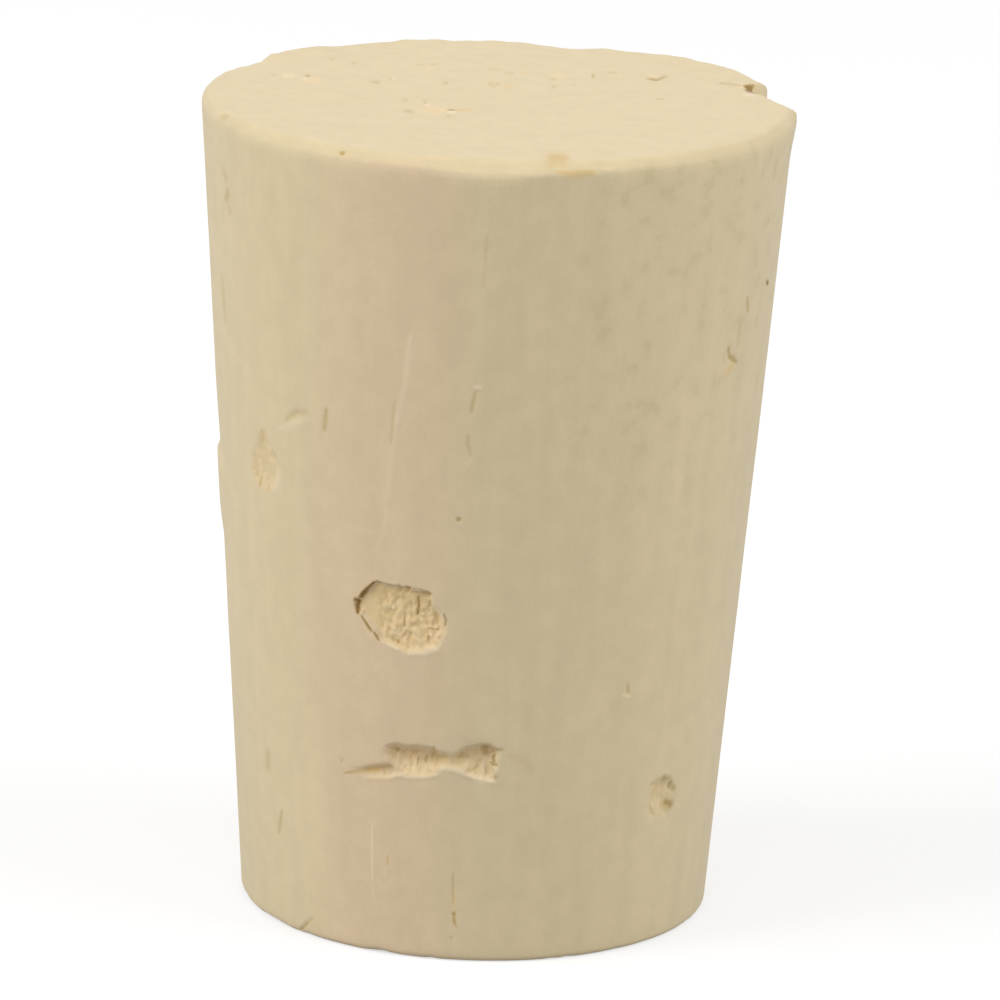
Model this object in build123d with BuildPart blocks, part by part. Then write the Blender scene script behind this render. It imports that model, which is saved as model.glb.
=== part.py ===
"""Tapered natural cork stopper: one turned piece of cork bark, with its lenticel pits and worn rim.

The stopper stands on its small end. The origin is the centre of that end and +Z runs up the axis.
Angles go round the axis in degrees from the front, which faces -Y, and are positive towards +X.
"""

from build123d import *
import os
from math import atan2, cos, degrees, radians, sin
from typing import NamedTuple

# Driving dimensions of the turned body, in millimetres
LENGTH = 33.5
LARGE_END_DIAMETER = 24.0
SMALL_END_DIAMETER = 19.2
LARGE_RIM_ROUND = 0.4
SMALL_RIM_BEVEL = 0.3

# Flat worn into the large rim at the front
WORN_FLAT_ANGLE = -1.5
WORN_FLAT_REACH = 0.6  # from the rim's corner, both in along the top and down the flank
WORN_FLAT_SLOPE = 45.0

# Chip out of the large rim, in front of a growth ring that has split open
CHIP_BACK_ANGLE = 113.0
CHIP_FRONT_ANGLE = 88.0
CHIP_REACH = 1.3  # in from the rim, along the split
CHIP_DEPTH = 0.9  # at the rim, where the split comes out

# How the pits are cut
PIT_FLOOR_SHARE = 0.72  # the floor's outline as a share of the mouth's
PIT_FLOOR_LEAN = 0.12  # how far the floor sits up from the middle, as a share of the half height
CUTTER_MARGIN = 0.2  # how far a cutter stands out of the surface

# Pit outlines as shares of the half width and half height, clockwise from the left
BROAD = [
    (-1.0, 0.38), (-0.57, 1.0), (0.04, 1.0), (0.63, 0.88), (1.0, 0.1), (0.72, -0.75), (0.2, -1.0), (-0.41, -0.7),
]
HUMPED = [(-0.97, 0.5), (-0.62, 1.0), (-0.24, 0.95), (0.47, 0.89), (1.0, 0.2), (0.48, -0.86), (-0.54, -1.0)]
SQUARE = [(-0.94, 0.12), (0.1, 1.0), (0.98, 0.6), (0.9, -0.26), (0.7, -1.0), (-0.02, -0.9)]
HEART = [(-0.93, 0.31), (-0.07, 1.0), (0.88, 0.36), (0.46, -0.99), (-0.31, -1.0), (-1.0, -0.47)]
ALMOND = [(-1.0, -0.17), (-0.09, 1.0), (0.6, 0.45), (1.0, -0.24), (0.33, -0.97), (-0.58, -1.0)]
STREAK = [(-1.0, -0.6), (-0.4, 0.1), (0.3, 0.8), (0.9, 0.7), (1.0, -0.2), (0.5, -0.9), (-0.3, -0.95)]


class Pit(NamedTuple):
    """A lenticel's mouth on the flank: where its middle is, how big it is and the outline it has."""

    angle: float
    up: float  # from the small end
    width: float
    height: float
    depth: float
    outline: list
    mirrored: bool = False


FRONT_PITS = [
    Pit(angle=-17.9, up=14.5, width=3.9, height=2.95, depth=0.4, outline=BROAD),
    Pit(angle=-13.7, up=8.5, width=2.9, height=1.45, depth=0.5, outline=HUMPED),
    Pit(angle=-0.2, up=8.6, width=2.1, height=1.75, depth=0.5, outline=SQUARE),
    Pit(angle=-23.6, up=7.95, width=2.6, height=0.8, depth=0.2, outline=STREAK),
    Pit(angle=48.9, up=6.3, width=2.0, height=1.85, depth=0.3, outline=HEART),
    Pit(angle=-53.5, up=19.8, width=2.25, height=2.75, depth=0.16, outline=ALMOND),
    Pit(angle=-42.4, up=22.2, width=1.4, height=0.8, depth=0.1, outline=STREAK),
    Pit(angle=57.8, up=24.7, width=1.0, height=1.0, depth=0.2, outline=HEART, mirrored=True),
]

BACK_PITS = [
    Pit(angle=163.0, up=21.5, width=3.2, height=2.4, depth=0.4, outline=BROAD, mirrored=True),
    Pit(angle=-168.0, up=11.0, width=2.6, height=1.4, depth=0.45, outline=HUMPED, mirrored=True),
    Pit(angle=132.0, up=7.2, width=1.8, height=2.2, depth=0.25, outline=ALMOND, mirrored=True),
    Pit(angle=-130.0, up=25.3, width=1.7, height=1.6, depth=0.3, outline=HEART),
    Pit(angle=103.0, up=16.8, width=2.8, height=0.8, depth=0.25, outline=STREAK, mirrored=True),
    Pit(angle=-101.0, up=9.4, width=2.4, height=0.7, depth=0.2, outline=STREAK),
]

# Derived sizes
large_radius = LARGE_END_DIAMETER / 2
small_radius = SMALL_END_DIAMETER / 2
flank_lean = degrees(atan2(large_radius - small_radius, LENGTH))


def outward(angle):
    """Unit vector that points away from the axis at an angle from the front."""
    return Vector(sin(radians(angle)), -cos(radians(angle)), 0)


def flank_radius(up):
    """Radius of the tapered flank at a height above the small end."""
    return small_radius + (large_radius - small_radius) * up / LENGTH


def large_rim_point(angle, inward=0.0, drop=0.0):
    """Point by the large end's corner, a distance in from it and a drop below it."""
    return outward(angle) * (large_radius - inward) + Vector(0, 0, LENGTH - drop)


def flank_plane(angle, up):
    """Plane that touches the flank, with x to the right, y up the flank and z outward."""
    normal = outward(angle) * cos(radians(flank_lean)) - Vector(0, 0, sin(radians(flank_lean)))
    touch = outward(angle) * flank_radius(up) + Vector(0, 0, up)
    return Plane(origin=touch, x_dir=outward(angle + 90), z_dir=normal)


def worn_flat_plane():
    """Plane of the worn flat, with z pointing up and out of the cork."""
    normal = outward(WORN_FLAT_ANGLE) * sin(radians(WORN_FLAT_SLOPE)) + Vector(0, 0, cos(radians(WORN_FLAT_SLOPE)))
    return Plane(origin=large_rim_point(WORN_FLAT_ANGLE, inward=WORN_FLAT_REACH), z_dir=normal)


def chip_plane():
    """Sloping floor of the chip, with x along the split out to the rim and z up."""
    root = large_rim_point(CHIP_BACK_ANGLE, inward=CHIP_REACH)
    mouth = large_rim_point(CHIP_BACK_ANGLE, drop=CHIP_DEPTH)
    front = large_rim_point(CHIP_FRONT_ANGLE)
    return Plane(origin=root, x_dir=mouth - root, z_dir=(front - root).cross(mouth - root))


def pit_section(pit, share, level, lean):
    """Closed outline of a pit on a plane at a level above the flank, drawn to a share of its size."""
    side = -1 if pit.mirrored else 1
    with BuildSketch(flank_plane(pit.angle, pit.up).offset(level)) as section:
        with BuildLine():
            Spline(
                *[
                    (side * x * share * pit.width / 2, (y * share + lean) * pit.height / 2)
                    for x, y in pit.outline
                ],
                periodic=True,
            )
        make_face()
    return section.sketch


def pit_cutter(pit):
    """Solid that scoops a pit out: wider at the mouth, with a floor that sits towards its upper edge."""
    sagitta = pit.width**2 / (8 * flank_radius(pit.up))
    rise = sagitta + CUTTER_MARGIN
    mouth_share = 1 + (1 - PIT_FLOOR_SHARE) * rise / pit.depth
    mouth = pit_section(pit, mouth_share, rise, -PIT_FLOOR_LEAN * rise / pit.depth)
    floor = pit_section(pit, PIT_FLOOR_SHARE, -pit.depth, PIT_FLOOR_LEAN)
    with BuildPart() as cutter:
        loft([mouth, floor])
    return cutter.part


os.makedirs("parts", exist_ok=True)

pit_cutters = [pit_cutter(pit) for pit in FRONT_PITS + BACK_PITS]

# Turned body with softened rims
with BuildPart() as cork_stopper:
    with BuildSketch(Plane.XZ):
        with BuildLine():
            Polyline((0, 0), (small_radius, 0), (large_radius, LENGTH), (0, LENGTH), close=True)
        make_face()
    revolve(axis=Axis.Z)
    fillet(cork_stopper.edges().group_by(Axis.Z)[-1], radius=LARGE_RIM_ROUND)
    chamfer(cork_stopper.edges().group_by(Axis.Z)[0], length=SMALL_RIM_BEVEL)

    # Worn flat and chip of the large rim
    split(bisect_by=worn_flat_plane(), keep=Keep.BOTTOM)
    with BuildSketch(chip_plane()):
        Rectangle(LARGE_END_DIAMETER, LARGE_END_DIAMETER, align=(Align.MIN, Align.MAX))
    extrude(amount=CHIP_DEPTH + CUTTER_MARGIN, mode=Mode.SUBTRACT)

    # Lenticel pits
    add(pit_cutters, mode=Mode.SUBTRACT)

cork_stopper.part.label = "cork_stopper"
export_step(cork_stopper.part, "parts/cork_stopper.step")
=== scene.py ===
"""Look of the cork stopper: a dense mesh of the turned cork with its pits, cracks, worn rim and grain.

The cork is shaped in millimetres and written in metres. Angles are in degrees round the axis, from the front
at -Y towards +X. On the flank, u runs to the right along the surface and v runs up.
"""

from math import cos, degrees, pi, radians, sin
from typing import NamedTuple

import bmesh
import bpy
import numpy as np
from mathutils import Matrix, Vector, noise


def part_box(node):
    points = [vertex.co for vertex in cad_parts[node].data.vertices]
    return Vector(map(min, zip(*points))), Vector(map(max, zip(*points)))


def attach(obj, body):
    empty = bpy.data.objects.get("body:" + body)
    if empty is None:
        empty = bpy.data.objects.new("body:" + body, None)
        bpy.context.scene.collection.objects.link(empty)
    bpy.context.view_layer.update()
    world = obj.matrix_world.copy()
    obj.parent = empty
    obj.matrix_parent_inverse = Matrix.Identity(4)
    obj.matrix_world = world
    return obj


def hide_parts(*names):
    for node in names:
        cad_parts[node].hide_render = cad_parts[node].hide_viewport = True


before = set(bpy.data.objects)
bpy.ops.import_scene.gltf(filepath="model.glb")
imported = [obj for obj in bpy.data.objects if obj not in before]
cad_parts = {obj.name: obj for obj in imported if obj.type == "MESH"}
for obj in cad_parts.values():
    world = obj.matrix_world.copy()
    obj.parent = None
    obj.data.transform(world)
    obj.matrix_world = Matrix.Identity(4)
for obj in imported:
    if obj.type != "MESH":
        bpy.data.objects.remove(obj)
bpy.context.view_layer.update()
stopper_low, stopper_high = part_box("cork_stopper")

MILLIMETRE = 0.001
UP = np.array([0.0, 0.0, 1.0])

# Turned body, as the solid has it
LENGTH = (stopper_high.z - stopper_low.z) / MILLIMETRE
LARGE_RADIUS = 12.0
SMALL_RADIUS = 9.6
LARGE_RIM_SOFTNESS = 0.45
SMALL_RIM_SOFTNESS = 0.3
WORN_FLAT_ANGLE = -1.5
WORN_FLAT_REACH = 0.6
WORN_FLAT_SLOPE = 45.0
WORN_FLAT_SOFTNESS = 0.16
CHIP_BACK_ANGLE = 113.0
CHIP_FRONT_ANGLE = 88.0
CHIP_REACH = 1.3
CHIP_DEPTH = 0.9
CHIP_SOFTNESS = 0.02
CHIP_MARGIN = 0.6  # how far past it the mesh is refined and cut

# How fine the mesh is
COLUMNS = 256  # a multiple of 8, for the square grids of the ends
ROW_HEIGHT = 0.3
RIM_STEPS = 6
REFINE_MARGIN = 0.15  # past the edge of a pit or a mark
REFINE_SPACING = 0.3  # along a stroke
CHIP_STEPS = 8  # refined places along the split
FINEST_CRUMBS = 0.05  # pits with higher crumbs get the finest mesh

# Reach of the surfaces and their marks
FLANK_MARGIN = 0.05  # how far inside the taper the flank goes
MARK_MARGIN = 0.4  # past the middle lines of strokes
END_STRETCH = 3.0  # draws out the marks of the ends from front to back
END_REACH = 0.4  # of an end's surface from its level
END_FACING = 0.7  # what faces up or down more than this belongs to an end

# Shares of a stroke's width
SPECK_LENGTH = 0.1
DASH_END_WIDTH = 0.6

# Floor and edge of the pits
# Speck tints of a crumbly floor: dark on the deeper crumbs is painted shade, pale on the higher ones a
# painted highlight, mixed with random specks
CRUMB_SPECKS_AND_PAINTED_SHADE = 0.2
CRUMB_SPECKS_AND_PAINTED_HIGHLIGHT = 0.2
CRUMB_CONTRAST = 14.0  # how fast both grow with the crumbs' height
CRUMB_FADE = 0.8  # from a floor's smooth part to its crumbly part
CRUMB_EDGE = (0.05, 0.35)  # in from the edge, where they start and are full
SPECK_RANGE = (0.2, 0.9)  # noise where a speck starts and is full
POWDER_EDGE = 0.3
PIT_RAGGEDNESS = 0.07
PIT_LIP = 0.02  # how far outside its outline a pit starts
WALL_TURN = 0.7  # cosine of the turn from the steepest way within which a wall is steepest

# Pit outlines as shares of half the width and height, clockwise from the left
BROAD = [
    (-1.0, 0.32), (-0.57, 0.93), (-0.38, 0.97), (-0.03, 0.91), (0.2, 0.96), (0.32, 0.85), (0.63, 0.83),
    (0.72, 0.58), (0.98, -0.01), (1.0, -0.27), (0.88, -0.62), (0.68, -0.86), (0.2, -1.0), (-0.31, -0.82),
    (-0.45, -0.7), (-0.56, -0.46), (-0.84, -0.07), (-0.93, -0.02),
]
HUMPED = [(-0.97, 0.5), (-0.62, 1.0), (-0.24, 0.95), (0.47, 0.89), (1.0, 0.2), (0.48, -0.86), (-0.54, -1.0)]
SQUARE = [(-0.94, 0.12), (0.1, 1.0), (0.98, 0.6), (0.9, -0.26), (0.7, -1.0), (-0.02, -0.9)]
HEART = [(-0.93, 0.31), (-0.07, 1.0), (0.88, 0.36), (0.46, -0.99), (-0.31, -1.0), (-1.0, -0.47)]
ALMOND = [(-1.0, -0.17), (-0.09, 1.0), (0.6, 0.45), (1.0, -0.24), (0.33, -0.97), (-0.58, -1.0)]
STREAK = [(-1.0, -0.6), (-0.4, 0.1), (0.3, 0.8), (0.9, 0.7), (1.0, -0.2), (0.5, -0.9), (-0.3, -0.95)]


class Pit(NamedTuple):
    """A lenticel in the flank: a hollow of its own outline with a crumbly floor."""

    angle: float
    up: float
    width: float
    height: float
    depth: float
    outline: list
    mirrored: bool = False
    steep_way: float = 90.0  # to the steepest wall, in degrees from the right, with up as 90
    walls: tuple = (0.3, 0.5)  # reach of the steepest wall and of the one opposite it
    lean: tuple = (0.0, 0.25)  # how the depth grows to the right and upwards, as shares
    crumbs: float = 0.05
    crumbs_from: float = -9.0  # left of this u the floor is smooth
    powder: float = 0.5  # how much of its own colour the floor has


class Stroke(NamedTuple):
    """A crack, lip, stain, speck or patch of painted shade, drawn as a line of points (u, v, width)."""

    path: np.ndarray
    sink: float = 0.0  # negative where it stands proud
    dark: float = 0.0
    pale: float = 0.0
    powder: float = 0.0


class Nick(NamedTuple):
    """A small bite at the large rim."""

    place: tuple  # angle, and how far in and down from the rim's corner
    radius: float
    sink: float
    dark: float = 0.0
    pale: float = 0.0
    powder: float = 0.0


def from_hundredths(path, **amounts):
    """Stroke from hundredths, of a millimetre in its path and sink and of the full tint in the rest."""
    if len(path) == 1:
        u, v, width = path[0]
        half = SPECK_LENGTH * width / 2
        path = [(u, v - half, width), (u, v + half, width)]
    return Stroke(np.array(path) / 100, **{name: amount / 100 for name, amount in amounts.items()})


def sunk_dark_mark(sink, dark, *path, powder=0):
    """Dark line, sunk into the cork, or a pore if it has one point; in places it is painted shade."""
    return from_hundredths(path, sink=sink, dark=dark, powder=powder)


def dark_mark(dark, *path, powder=0):
    """Dark line on the surface; in places it is painted shade."""
    return from_hundredths(path, dark=dark, powder=powder)


def lip(rise, pale, *path, powder=0):
    """Pale line that stands proud, or a crumb if it has one point."""
    return from_hundredths(path, sink=-rise, pale=pale, powder=powder)


def dust(powder, *path):
    """Powdery line on the surface."""
    return from_hundredths(path, powder=powder)


def dash(u, top, bottom, width, slant=0):
    """Path of a short upright line with thin ends, the lower one a slant to the right."""
    thin = width * DASH_END_WIDTH
    return (u, top, thin), (u + slant / 2, (top + bottom) / 2, width), (u + slant, bottom, thin)


PITS = [
    Pit(
        -17.5, 14.44, 3.98, 2.96, 0.17, BROAD, steep_way=150.0, walls=(0.1, 0.45),
        lean=(0.0, 0.6), crumbs=0.06, crumbs_from=-1.4, powder=0.9,
    ),
    Pit(-13.7, 8.5, 2.9, 1.45, 0.4, HUMPED, walls=(0.6, 0.75), lean=(0.0, 0.5), crumbs=0.07),
    Pit(
        -0.2, 8.6, 2.1, 1.75, 0.42, SQUARE, walls=(0.5, 0.75), lean=(0.2, 0.5),
        crumbs=0.08, crumbs_from=-0.9, powder=0.45,
    ),
    Pit(-23.6, 7.95, 2.6, 0.8, 0.07, STREAK, walls=(0.3, 0.3), crumbs=0.04, powder=0.3),
    Pit(48.9, 6.3, 2.0, 1.85, 0.2, HEART, steep_way=60.0, walls=(0.45, 0.95), crumbs=0.04, powder=0.3),
    Pit(-53.5, 19.8, 2.25, 2.75, 0.08, ALMOND, steep_way=120.0, walls=(0.45, 0.6), crumbs=0.03),
    Pit(-42.4, 22.2, 1.4, 0.8, 0.03, STREAK, walls=(0.3, 0.35), crumbs=0.02, powder=0.0),
    Pit(57.8, 24.7, 1.0, 1.0, 0.04, HEART, mirrored=True, walls=(0.4, 0.4), crumbs=0.0, powder=0.2),
    Pit(
        163.0, 21.5, 3.2, 2.4, 0.26, BROAD, mirrored=True, steep_way=40.0, walls=(0.1, 0.45),
        lean=(0.3, 0.3), powder=0.8,
    ),
    Pit(-168.0, 11.0, 2.6, 1.4, 0.38, HUMPED, mirrored=True, walls=(0.5, 0.7)),
    Pit(132.0, 7.2, 1.8, 2.2, 0.2, ALMOND, mirrored=True, walls=(0.3, 0.6)),
    Pit(-130.0, 25.3, 1.7, 1.6, 0.25, HEART, walls=(0.3, 0.6)),
    Pit(103.0, 16.8, 2.8, 0.8, 0.2, STREAK, mirrored=True, walls=(0.25, 0.4)),
    Pit(-101.0, 9.4, 2.4, 0.7, 0.16, STREAK, walls=(0.25, 0.4)),
]

# Marks of the flank, by angle and height
MARKS = {}

# Broad pit: a crack round its upper left, a slit and a pale lip below it
MARKS[-17.5, 14.44] = [
    # The dark crack round the upper left lies on the pit's steep wall: crack colour, and in part painted
    # shade of that wall
    dark_mark(90, (-117, 136, 7), (-144, 109, 12), (-166, 82, 15), (-177, 63, 12)),
    dark_mark(90, (-200, 54, 11), (-188, 42, 16), (-194, 25, 12), (-187, 0, 13)),
    sunk_dark_mark(3, 25, (-117, 136, 8), (-85, 139, 7), (-30, 133, 8), (90, 130, 6)),
    sunk_dark_mark(3, 70, (-170, -13, 6), (-148, -41, 11), (-137, -56, 12), (-125, -69, 7)),
    sunk_dark_mark(3, 70, (-114, -74, 6), (-103, -89, 11), (-93, -104, 5)),
    lip(1, 25, (-162, -55, 12), (-144, -78, 16), (-120, -100, 12), powder=35),
    lip(2, 50, (-50, -115, 12), (-12, -130, 15)),
    lip(2, 55, (40, -142, 20), (95, -133, 30), (150, -112, 25)),
    # Stains and crumbs of the floor
    dark_mark(9, (-110, 95, 50), (0, 95, 60), (100, 85, 50)),
    dark_mark(10, (-120, 115, 25), (-75, 115, 25), (-45, 115, 20)),
    sunk_dark_mark(3, 30, (-7, 136, 16), (-6, 112, 14)), sunk_dark_mark(3, 28, (24, 134, 14), (23, 112, 12)),
    sunk_dark_mark(2, 20, (90, 114, 25), (112, 110, 25)), sunk_dark_mark(5, 45, *dash(67, 93, 55, 10, slant=5)),
    sunk_dark_mark(5, 55, *dash(71, 55, 22, 12, slant=-5)), sunk_dark_mark(5, 45, *dash(118, 85, 60, 12)),
    sunk_dark_mark(4, 40, *dash(12, 2, -36, 9)), sunk_dark_mark(2, 22, (48, -26, 20), (62, -20, 24)),
    sunk_dark_mark(4, 22, *dash(150, 25, -12, 13)), sunk_dark_mark(4, 38, (178, 34, 5), (186, 12, 10), (184, -12, 6)),
    sunk_dark_mark(3, 35, (114, -34, 6), (134, -37, 8), (154, -35, 5)),
    dark_mark(8, (-10, -8, 25), (-5, -30, 25)), sunk_dark_mark(4, 35, (-12, -106, 13)),
    sunk_dark_mark(3, 35, *dash(114, -66, -86, 11)), sunk_dark_mark(2, 18, *dash(40, 72, 40, 11)),
    lip(4, 100, (-35, 37, 11)), lip(4, 100, (124, -60, 11)), lip(4, 100, (153, -62, 12)),
    lip(3, 70, (-25, -57, 17)), lip(3, 80, (78, 85, 7)), lip(3, 80, (106, 63, 8)),
    lip(2, 50, *dash(-16, 68, 42, 9)), lip(2, 40, (166, 30, 8), (174, 5, 10)),
]
# Twin pits with a tail to the left, a brow of painted shade and a raw pale lip at the lower right
MARKS[-10.6, 8.45] = [
    # Painted shade on the upper walls of both pits, and on the sunk waist between them
    sunk_dark_mark(3, 8, (-180, 25, 30), (-125, 45, 50), (-60, 42, 50), (20, 38, 35)),
    sunk_dark_mark(3, 6, (120, 40, 35), (155, 65, 50), (200, 70, 55), (240, 55, 40)),
    sunk_dark_mark(10, 18, (10, 10, 45), (60, 16, 50), (110, 12, 45), powder=30),
    # Tail
    sunk_dark_mark(2, 32, (-375, -98, 6), (-290, -72, 20), (-240, -58, 34), (-170, -35, 28)),
    sunk_dark_mark(2, 42, (-260, -66, 18), (-220, -54, 22), powder=100), sunk_dark_mark(2, 36, *dash(-190, -45, -75, 10)),
    lip(2, 40, (-276, -100, 12), (-210, -92, 14), (-144, -75, 16), powder=60),
    # Painted shade over the left-hand floor, and its ridges
    dark_mark(10, (-110, 5, 50), (20, 10, 50)), lip(5, 45, *dash(-128, 58, 30, 14)),
    sunk_dark_mark(3, 22, *dash(-146, 35, 0, 14)), sunk_dark_mark(4, 32, *dash(16, 66, 38, 16)),
    lip(3, 50, *dash(-62, 15, -20, 8), powder=40), sunk_dark_mark(4, 30, *dash(-53, 15, -24, 8)),
    sunk_dark_mark(3, 25, *dash(-40, 15, -20, 7)), sunk_dark_mark(3, 25, *dash(-21, 17, -12, 7)),
    lip(3, 60, *dash(-10, 22, -10, 9)),
    lip(2, 25, (-130, -25, 25), (-60, -22, 35), (10, -15, 25), powder=60),
    lip(2, 25, (-146, -69, 15), (-87, -69, 20), (-30, -63, 20), (30, -50, 15)),
    # Crumbs and stains of the right-hand floor
    sunk_dark_mark(2, 16, (127, 40, 22)), sunk_dark_mark(3, 24, (215, 75, 20), (232, 68, 22), (225, 42, 15)),
    sunk_dark_mark(4, 22, (250, 66, 14), (295, 68, 6)), sunk_dark_mark(4, 50, (263, 42, 6), (256, 30, 11), (260, 12, 9)),
    sunk_dark_mark(3, 50, (246, 10, 5), (255, 2, 8), (272, 5, 6)), sunk_dark_mark(2, 14, (150, -33, 12), (194, -12, 12)),
    dark_mark(6, (330, 50, 30), (370, 25, 40), (410, -10, 30)),
    sunk_dark_mark(3, 30, (268, -49, 15)), lip(2, 50, *dash(248, 45, 15, 9)),
    lip(4, 70, *dash(218, 10, -45, 13)), lip(3, 60, (265, -18, 20)), lip(3, 25, *dash(200, 60, 10, 10)),
    lip(3, 65, (50, -14, 20), (105, -20, 25), (145, -40, 22), (260, -68, 16)),
]
# Heart-shaped pit low on the right
MARKS[48.9, 6.3] = [
    dark_mark(9, (-30, 25, 80), (35, -15, 80)),
    sunk_dark_mark(2, 20, (-75, 66, 16), (-40, 76, 25), (-10, 80, 25), (30, 74, 25)),
    sunk_dark_mark(2, 16, (-68, 66, 14)), sunk_dark_mark(3, 34, *dash(0, 90, 30, 13, slant=10)),
    sunk_dark_mark(3, 44, *dash(50, 55, 20, 12, slant=4)), sunk_dark_mark(2, 27, (72, 17, 22)),
    lip(3, 60, *dash(30, 65, 12, 13, slant=5)), sunk_dark_mark(3, 52, (40, -36, 24), (60, -48, 30)),
    sunk_dark_mark(1, 20, (14, -42, 28), (45, -62, 30)), sunk_dark_mark(3, 22, (-70, -32, 8), (-62, -50, 14), (-40, -72, 8)),
    lip(3, 60, *dash(-50, -22, -42, 14)), lip(0, 30, (-95, -50, 25), (-60, -85, 30)),
    lip(0, 15, (-65, 42, 30), (-20, 36, 35), powder=90), dust(50, (-30, -55, 30), (10, -75, 30)),
]
# Almond-shaped pit high on the left
MARKS[-53.5, 19.8] = [
    sunk_dark_mark(2, 14, (-15, 120, 10), (-20, 85, 25)), dark_mark(6, (-15, 85, 45), (-10, 10, 60)),
    sunk_dark_mark(3, 28, *dash(-69, -38, -80, 9, slant=-5)), sunk_dark_mark(3, 42, *dash(-48, -82, -116, 9)),
    sunk_dark_mark(2, 20, *dash(19, -95, -126, 12, slant=-8)), sunk_dark_mark(3, 25, *dash(-44, 14, -10, 6)),
    sunk_dark_mark(2, 12, (48, 52, 15), (77, 28, 12)), lip(1, 35, (90, -30, 30), (85, -75, 40), (60, -110, 25)),
]
# Dent and tick beside it
MARKS[-42.4, 22.2] = [
    sunk_dark_mark(2, 15, (-66, -38, 15), (-35, -10, 32), (-6, 8, 20)),
    sunk_dark_mark(1, 6, (-5, 5, 20), (42, 15, 15), powder=30),
    lip(1, 35, (-110, -85, 20), (-45, -60, 30), (10, -30, 25)),
    sunk_dark_mark(2, 25, (151, 47, 16), (145, 4, 22), (140, -34, 20)),
]
# Hooked pore at the right and those above it
MARKS[57.8, 24.7] = [
    sunk_dark_mark(3, 42, (-24, 28, 16), (-6, -10, 20), (20, -24, 24), (53, -43, 14)),
    dark_mark(7, (-50, 5, 40), (-30, 35, 40)), dark_mark(3, (15, -55, 40), (-10, -65, 45), powder=100),
    lip(0, 25, (-40, -50, 35), (-75, -60, 35), powder=30),
    sunk_dark_mark(1, 12, (53, 111, 22), (45, 70, 25), (46, 30, 22)),
    sunk_dark_mark(3, 28, (90, 215, 14), (95, 190, 20), (107, 160, 20)),
    sunk_dark_mark(4, 90, (295, 238, 15), (320, 226, 17)),
]
# Split in the middle with a pale torn end
MARKS[-2.7, 23.0] = [
    lip(3, 90, (0, 130, 11), (24, 128, 10)), sunk_dark_mark(2, 22, (2, 110, 8), (-6, 70, 14), (-11, 30, 12)),
    sunk_dark_mark(2, 16, (-20, -70, 8), (-21, -105, 14), (-10, -150, 9)),
    lip(0, 25, (-4, -170, 20), (-20, -190, 20)),
]
# Long pale ridge to its left
MARKS[-18.0, 22.0] = [
    lip(1.5, 45, (44, 420, 16), (36, 340, 26), (28, 250, 18)),
    lip(1.5, 36, (26, 230, 14), (8, 140, 24), (-8, 60, 20)),
    lip(1.2, 20, (-8, 60, 20), (-24, -60, 22), (-50, -270, 22)),
    lip(0.8, 14, (-50, -270, 20), (-62, -400, 20), (-95, -490, 12)),
    sunk_dark_mark(1, 14, (-20, 140, 10), (-28, 60, 13), (-34, -30, 10)),
]
# Brown thread under the front rim
MARKS[-1.4, 29.5] = [
    sunk_dark_mark(1, 10, (4, 100, 12), (2, 50, 16), (0, 0, 12)), sunk_dark_mark(1, 7, (0, -20, 12), (-3, -100, 16)),
]
# Pale scratches low on the left
MARKS[-24.3, 4.1] = [
    lip(2, 75, (0, 140, 6), (1, 20, 11), (2, -100, 7)), lip(1, 30, (2, -120, 12), (10, -200, 10)),
    lip(1.5, 35, (60, 30, 5), (60, -80, 8)), sunk_dark_mark(2, 16, *dash(68, 15, -20, 9), powder=60),
]
# Crack up from the small end
MARKS[-4.3, 2.3] = [
    sunk_dark_mark(2, 18, (-5, 150, 6), (-4, 80, 9), (-1, 10, 7)), dust(50, (0, 60, 20), (3, -60, 25)),
    sunk_dark_mark(4, 55, (2, -25, 12)), sunk_dark_mark(3, 42, (3, -35, 7), (5, -60, 10), (12, -78, 6)),
    sunk_dark_mark(2, 20, (-5, -130, 12)),
]
# Chip at the small rim
MARKS[-44.0, 0.5] = [
    sunk_dark_mark(4, 30, (-35, -35, 16), (0, -5, 16)), sunk_dark_mark(2, 14, (0, -5, 14), (35, 30, 16)),
]
# Small pores and nicks
MARKS[-52.7, 4.5] = [sunk_dark_mark(3, 22, *dash(14, 50, -50, 22, slant=-26))]
MARKS[-56.8, 6.95] = [sunk_dark_mark(2, 16, (0, 30, 30), (-5, -35, 35))]
MARKS[-5.3, 18.8] = [sunk_dark_mark(5, 50, (0, 0, 15))]
MARKS[-32.1, 8.0] = [sunk_dark_mark(4, 30, (0, 0, 10))]
MARKS[34.7, 11.25] = [sunk_dark_mark(4, 24, (0, 35, 6), (6, 0, 17)), lip(2, 65, (-20, -14, 10), (16, -24, 14))]
MARKS[-65.3, 30.2] = [
    sunk_dark_mark(2, 14, (-20, 95, 30), (-2, 70, 35)), sunk_dark_mark(2, 20, (12, 20, 30), (8, 5, 35), (-12, -12, 30)),
    sunk_dark_mark(2, 12, (0, -20, 30), (23, -60, 30)),
]
MARKS[-70.3, 25.7] = [sunk_dark_mark(2, 12, (-10, 95, 30), (4, 0, 40), (6, -80, 30))]
# Brown and pale stretch under the worn rim
MARKS[16.0, 32.95] = [
    dark_mark(13, (-80, 30, 30), (-26, 15, 40), (50, 20, 30), powder=80),
    lip(3, 40, (95, 50, 30), (122, 36, 45), (150, 50, 30), powder=30),
]
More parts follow.
